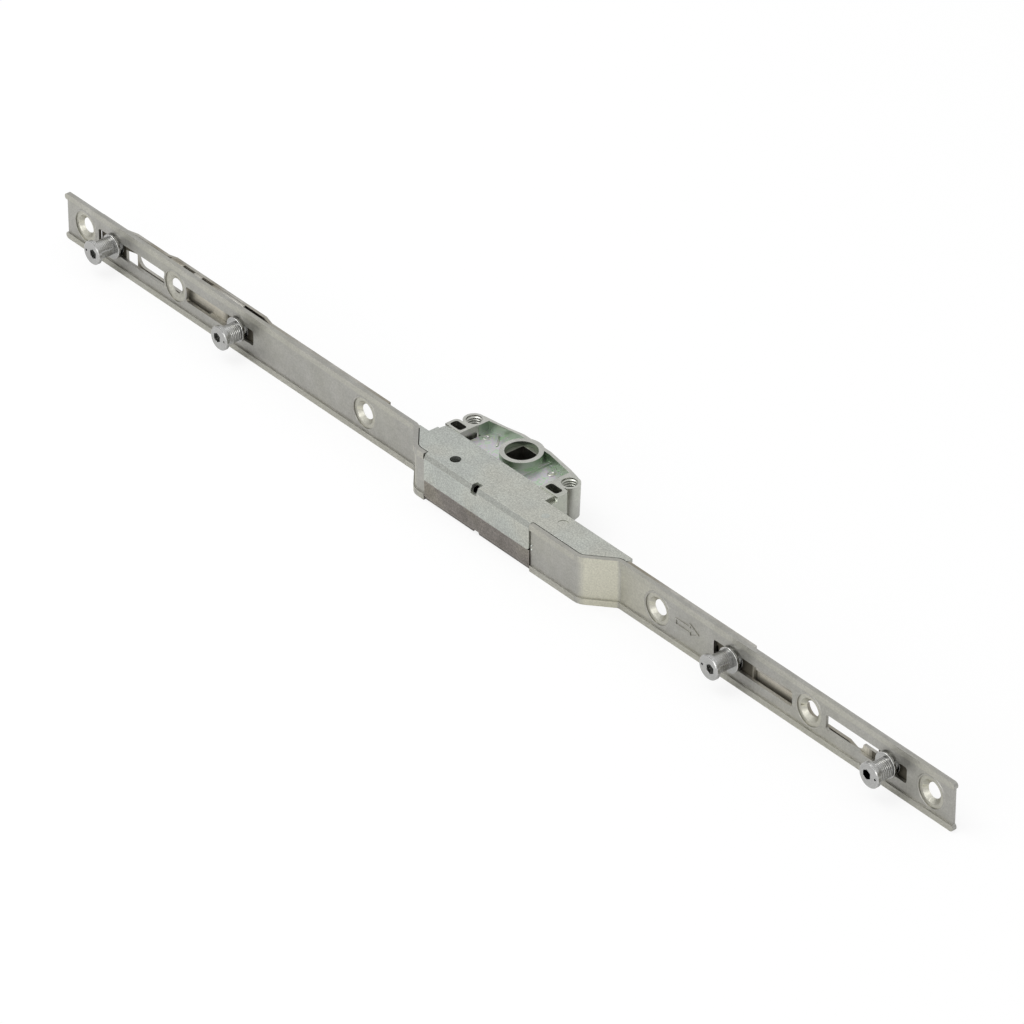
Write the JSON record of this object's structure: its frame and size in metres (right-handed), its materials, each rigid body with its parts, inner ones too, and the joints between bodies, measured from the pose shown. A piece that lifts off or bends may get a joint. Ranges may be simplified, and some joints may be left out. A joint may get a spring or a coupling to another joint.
{
  "type": "window espagnolette",
  "caption": "Window espagnolette with a cranked faceplate, a rack gearbox turned by a square spindle, two drive rods that run opposite ways and eccentric cams.",
  "frame": {"origin": "on the spindle axis, halfway up the faceplate", "axes": "+X along the faceplate, -Y out of the front of the faceplate that the cams stand on, +Z along the spindle towards the handle"},
  "size_m": [0.4, 0.0293, 0.0163],
  "materials": {
    "faceplate_steel": "zinc-plated rolled strip, satin warm grey",
    "shell_steel": "zinc-plated pressed sheet, satin with a faint grey-green passivation",
    "lower_shell_steel": "darker zinc-plated pressed sheet, slightly gritty",
    "die_casting": "zinc die casting, passivated with green and pink tints",
    "rivet_steel": "plated steel, satin",
    "gear_steel": "sintered and greased steel, satin",
    "rod_steel": "zinc-plated strip, satin",
    "cam_steel": "turned and bright nickel-plated steel"
  },
  "bodies": {
    "casing": {"faceplate_left": "faceplate_steel", "faceplate_right": "faceplate_steel", "top_shell": "shell_steel", "lower_shell": "lower_shell_steel", "gearbox_housing": "die_casting", "bottom_cover": "lower_shell_steel", "spacer_post": "rivet_steel", "pinion_axle": "rivet_steel", "shell_rivets": "rivet_steel", "cover_rivets": "rivet_steel"},
    "rod_a": {"drive_rod_a_left": "rod_steel", "drive_rod_a_right": "rod_steel", "rack_a": "gear_steel", "rod_a_rivets": "rivet_steel", "cam_bush_1": "cam_steel", "cam_bush_3": "cam_steel"},
    "rod_b": {"drive_rod_b": "rod_steel", "rack_b": "gear_steel", "rod_b_rivets": "rivet_steel", "cam_bush_2": "cam_steel", "cam_bush_4": "cam_steel"},
    "nut": {"spindle_nut": "gear_steel"},
    "pinion": {"reversing_pinion": "gear_steel"},
    "cam_1": {"cam_pin_1": "cam_steel"},
    "cam_2": {"cam_pin_2": "cam_steel"},
    "cam_3": {"cam_pin_3": "cam_steel"},
    "cam_4": {"cam_pin_4": "cam_steel"}
  },
  "joints": [
    {"name": "rod_a_slide", "type": "slide", "parent": "casing", "child": "rod_a", "axis": [1, 0, 0], "range_m": [0, 0.018]},
    {"name": "rod_b_slide", "type": "slide", "parent": "casing", "child": "rod_b", "axis": [1, 0, 0], "range_m": [-0.018, 0]},
    {"name": "nut_turn", "type": "hinge", "parent": "casing", "child": "nut", "pos_m": [0, 0, 0], "axis": [0, 0, 1], "range_deg": [0, 90]},
    {"name": "pinion_turn", "type": "hinge", "parent": "casing", "child": "pinion", "pos_m": [0.03, -0.01605, 0], "axis": [0, 0, 1], "range_deg": [-405.5, 0]},
    {"name": "cam_1_adjust", "type": "hinge", "parent": "rod_a", "child": "cam_1", "pos_m": [-0.1762, -0.015, 0], "axis": [0, -1, 0], "range_deg": [-90, 90]},
    {"name": "cam_2_adjust", "type": "hinge", "parent": "rod_b", "child": "cam_2", "pos_m": [-0.1148, -0.015, 0], "axis": [0, -1, 0], "range_deg": [-90, 90]},
    {"name": "cam_3_adjust", "type": "hinge", "parent": "rod_a", "child": "cam_3", "pos_m": [0.1086, -0.015, 0], "axis": [0, -1, 0], "range_deg": [-90, 90]},
    {"name": "cam_4_adjust", "type": "hinge", "parent": "rod_b", "child": "cam_4", "pos_m": [0.1733, -0.015, 0], "axis": [0, -1, 0], "range_deg": [-90, 90]}
  ],
  "couplings": [
    {"joint": "rod_b_slide", "follows": "rod_a_slide", "ratio": -1},
    {"joint": "nut_turn", "follows": "rod_a_slide", "rad_per_m": 87.266},
    {"joint": "pinion_turn", "follows": "rod_a_slide", "rad_per_m": -392.7}
  ]
}
